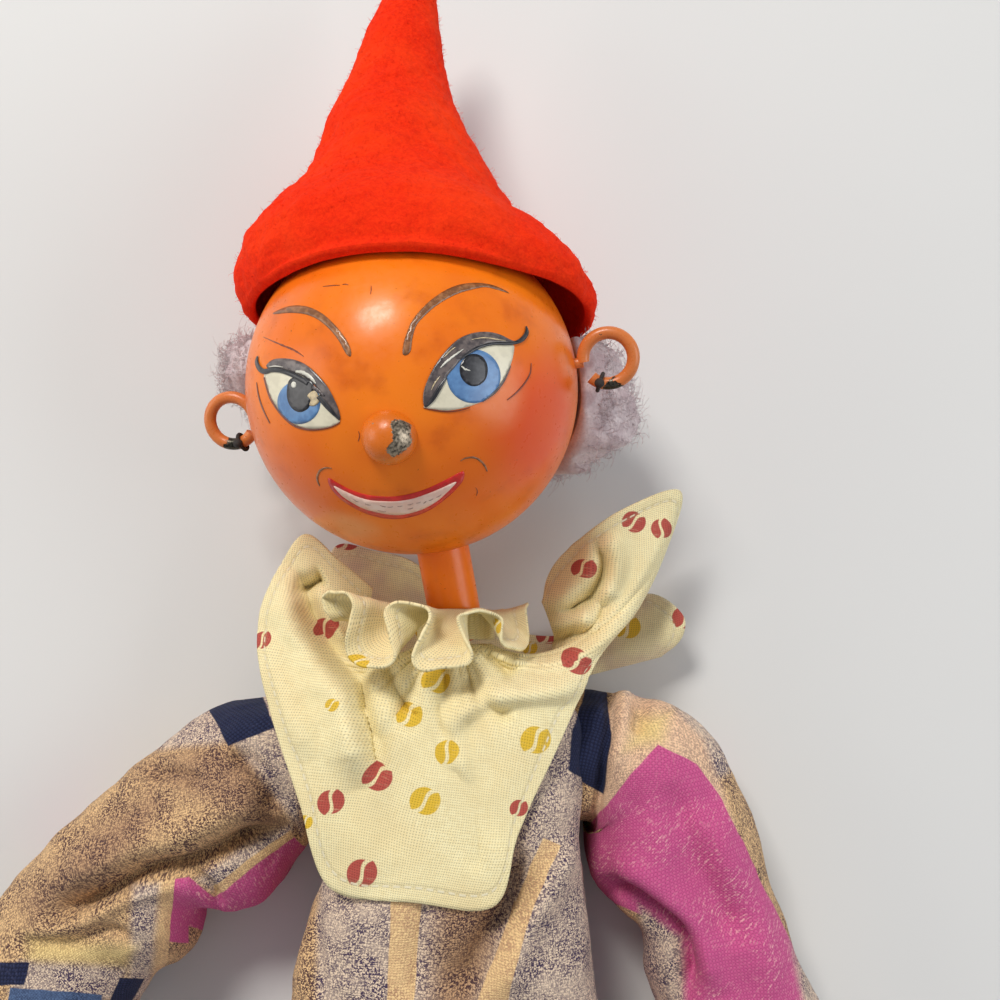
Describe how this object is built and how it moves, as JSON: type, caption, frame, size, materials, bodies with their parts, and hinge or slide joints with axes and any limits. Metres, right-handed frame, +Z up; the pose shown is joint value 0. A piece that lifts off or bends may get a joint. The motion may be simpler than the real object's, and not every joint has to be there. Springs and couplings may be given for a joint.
{
  "type": "jester marionette",
  "caption": "Wooden string puppet of a grinning jester: ball head with a felt cone hat, plaid suit and spotted collar, limbs on hooks and pins, lying on its back.",
  "frame": {"origin": "the middle of the flat of the back, on the table that the puppet lies on", "axes": "+Z up from the table and out of the chest, +Y from the feet to the tip of the hat, +X towards the puppet's left hand"},
  "size_m": [0.1802, 0.3358, 0.0622],
  "materials": {
    "painted_wood": "orange enamel on turned wood, satin",
    "painted_limb": "orange enamel on carved wood, satin",
    "painted_steel": "orange enamel worn to bright metal",
    "dark_thread": "dark waxed thread",
    "wool": "teased grey lilac wool",
    "red_felt": "thick pressed wool felt",
    "spotted_cotton": "plain woven cream cotton printed with red and yellow spots",
    "plaid_cotton": "cotton printed with a flecked plaid in navy, magenta and straw",
    "bare_wood": "sanded beech",
    "bright_steel": "bright steel wire"
  },
  "bodies": {
    "torso": {"torso_block": "bare_wood", "torso_neck_eye": "bright_steel", "shoulder_eye_left": "bright_steel", "shoulder_eye_right": "bright_steel", "hip_pin_left": "bright_steel", "hip_pin_right": "bright_steel", "tunic": "plaid_cotton", "collar_front": "spotted_cotton", "collar_back": "spotted_cotton", "collar_frill": "spotted_cotton"},
    "neck_chain": {"neck_link": "bright_steel"},
    "neck": {"neck_eye": "bright_steel"},
    "head": {"head_ball": "painted_wood", "neck_dowel": "painted_wood", "nose_tack": "painted_steel", "ear_eye_left": "painted_steel", "ear_eye_right": "painted_steel", "ear_thread_left": "dark_thread", "ear_thread_right": "dark_thread", "wool_hair": "wool", "felt_hat": "red_felt"},
    "shoulder_chain_left": {"shoulder_link_left": "bright_steel"},
    "upper_arm_left": {"upper_arm_rod_left": "bare_wood", "arm_eye_left": "bright_steel", "sleeve_upper_left": "plaid_cotton"},
    "forearm_left": {"forearm_rod_left": "bare_wood", "wrist_eye_left": "bright_steel", "elbow_pin_left": "bright_steel", "sleeve_lower_left": "plaid_cotton"},
    "lower_hand_left": {"hand_left": "painted_limb", "hand_eye_left": "bright_steel"},
    "thigh_left": {"thigh_rod_left": "bare_wood", "trouser_upper_left": "plaid_cotton"},
    "shin_left": {"shin_rod_left": "bare_wood", "knee_pin_left": "bright_steel", "ankle_pin_left": "bright_steel", "trouser_lower_left": "plaid_cotton"},
    "foot_left": {"shoe_left": "painted_limb"},
    "shoulder_chain_right": {"shoulder_link_right": "bright_steel"},
    "upper_arm_right": {"upper_arm_rod_right": "bare_wood", "arm_eye_right": "bright_steel", "sleeve_upper_right": "plaid_cotton"},
    "forearm_right": {"forearm_rod_right": "bare_wood", "wrist_eye_right": "bright_steel", "elbow_pin_right": "bright_steel", "sleeve_lower_right": "plaid_cotton"},
    "lower_hand_right": {"hand_right": "painted_limb", "hand_eye_right": "bright_steel"},
    "thigh_right": {"thigh_rod_right": "bare_wood", "trouser_upper_right": "plaid_cotton"},
    "shin_right": {"shin_rod_right": "bare_wood", "knee_pin_right": "bright_steel", "ankle_pin_right": "bright_steel", "trouser_lower_right": "plaid_cotton"},
    "foot_right": {"shoe_right": "painted_limb"}
  },
  "joints": [
    {"name": "head_tilt", "type": "hinge", "parent": "torso", "child": "neck_chain", "pos_m": [0, 0.0308, 0.0185], "axis": [0, 0, -1], "range_deg": [-12, 25], "deforming": ["collar_front", "collar_back"]},
    {"name": "head_nod", "type": "hinge", "parent": "neck_chain", "child": "neck", "pos_m": [-0.00066, 0.03444, 0.0185], "axis": [0.9842, 0.1771, 0], "range_deg": [-25, 20], "deforming": ["collar_frill"]},
    {"name": "head_turn", "type": "hinge", "parent": "neck", "child": "head", "pos_m": [-0.00918, 0.08183, 0.03304], "axis": [-0.1695, 0.9422, 0.289], "range_deg": [-45, 65]},
    {"name": "shoulder_spread_left", "type": "hinge", "parent": "torso", "child": "shoulder_chain_left", "pos_m": [0.031, 0.02, 0.017], "axis": [0, 0, 1], "range_deg": [-8, 65]},
    {"name": "shoulder_raise_left", "type": "hinge", "parent": "shoulder_chain_left", "child": "upper_arm_left", "pos_m": [0.03236, 0.01656, 0.017], "axis": [0.9304, 0.3665, 0], "range_deg": [-90, 20], "deforming": ["sleeve_upper_left"]},
    {"name": "elbow_left", "type": "hinge", "parent": "upper_arm_left", "child": "forearm_left", "pos_m": [0.05056, -0.02966, 0.01134], "axis": [-0.9304, -0.3665, 0], "range_deg": [0, 90], "deforming": ["sleeve_lower_left"]},
    {"name": "wrist_left", "type": "hinge", "parent": "forearm_left", "child": "lower_hand_left", "pos_m": [0.06731, -0.07219, 0.00613], "axis": [0.0415, -0.1053, 0.9936], "range_deg": [-40, 40]},
    {"name": "hip_left", "type": "hinge", "parent": "torso", "child": "thigh_left", "pos_m": [0.013, -0.042, 0.015], "axis": [-0.9962, -0.0872, 0], "range_deg": [-20, 85], "deforming": ["trouser_upper_left"]},
    {"name": "knee_left", "type": "hinge", "parent": "thigh_left", "child": "shin_left", "pos_m": [0.01735, -0.09175, 0.01264], "axis": [0.9962, 0.0872, 0], "range_deg": [0, 90], "deforming": ["trouser_lower_left"]},
    {"name": "ankle_left", "type": "hinge", "parent": "shin_left", "child": "foot_left", "pos_m": [0.02153, -0.13955, 0.01114], "axis": [-0.9962, -0.0872, 0], "range_deg": [0, 35]},
    {"name": "shoulder_spread_right", "type": "hinge", "parent": "torso", "child": "shoulder_chain_right", "pos_m": [-0.031, 0.02, 0.017], "axis": [0, 0, -1], "range_deg": [-25, 35]},
    {"name": "shoulder_raise_right", "type": "hinge", "parent": "shoulder_chain_right", "child": "upper_arm_right", "pos_m": [-0.03379, 0.01757, 0.017], "axis": [0.6561, -0.7547, 0], "range_deg": [-90, 20], "deforming": ["sleeve_upper_right"]},
    {"name": "elbow_right", "type": "hinge", "parent": "upper_arm_right", "child": "forearm_right", "pos_m": [-0.07129, -0.01502, 0.01134], "axis": [-0.0854, -0.0743, 0.9936], "range_deg": [-31, 35], "deforming": ["sleeve_lower_right"]},
    {"name": "wrist_right", "type": "hinge", "parent": "forearm_right", "child": "lower_hand_right", "pos_m": [-0.08531, -0.0586, 0.00688], "axis": [-0.0854, -0.0743, 0.9936], "range_deg": [-40, 40]},
    {"name": "hip_right", "type": "hinge", "parent": "torso", "child": "thigh_right", "pos_m": [-0.013, -0.042, 0.015], "axis": [-0.9962, 0.0872, 0], "range_deg": [-20, 85], "deforming": ["trouser_upper_right"]},
    {"name": "knee_right", "type": "hinge", "parent": "thigh_right", "child": "shin_right", "pos_m": [-0.01735, -0.09175, 0.01264], "axis": [0.9962, -0.0872, 0], "range_deg": [0, 90], "deforming": ["trouser_lower_right"]},
    {"name": "ankle_right", "type": "hinge", "parent": "shin_right", "child": "foot_right", "pos_m": [-0.02153, -0.13955, 0.01114], "axis": [-0.9962, 0.0872, 0], "range_deg": [0, 35]}
  ]
}
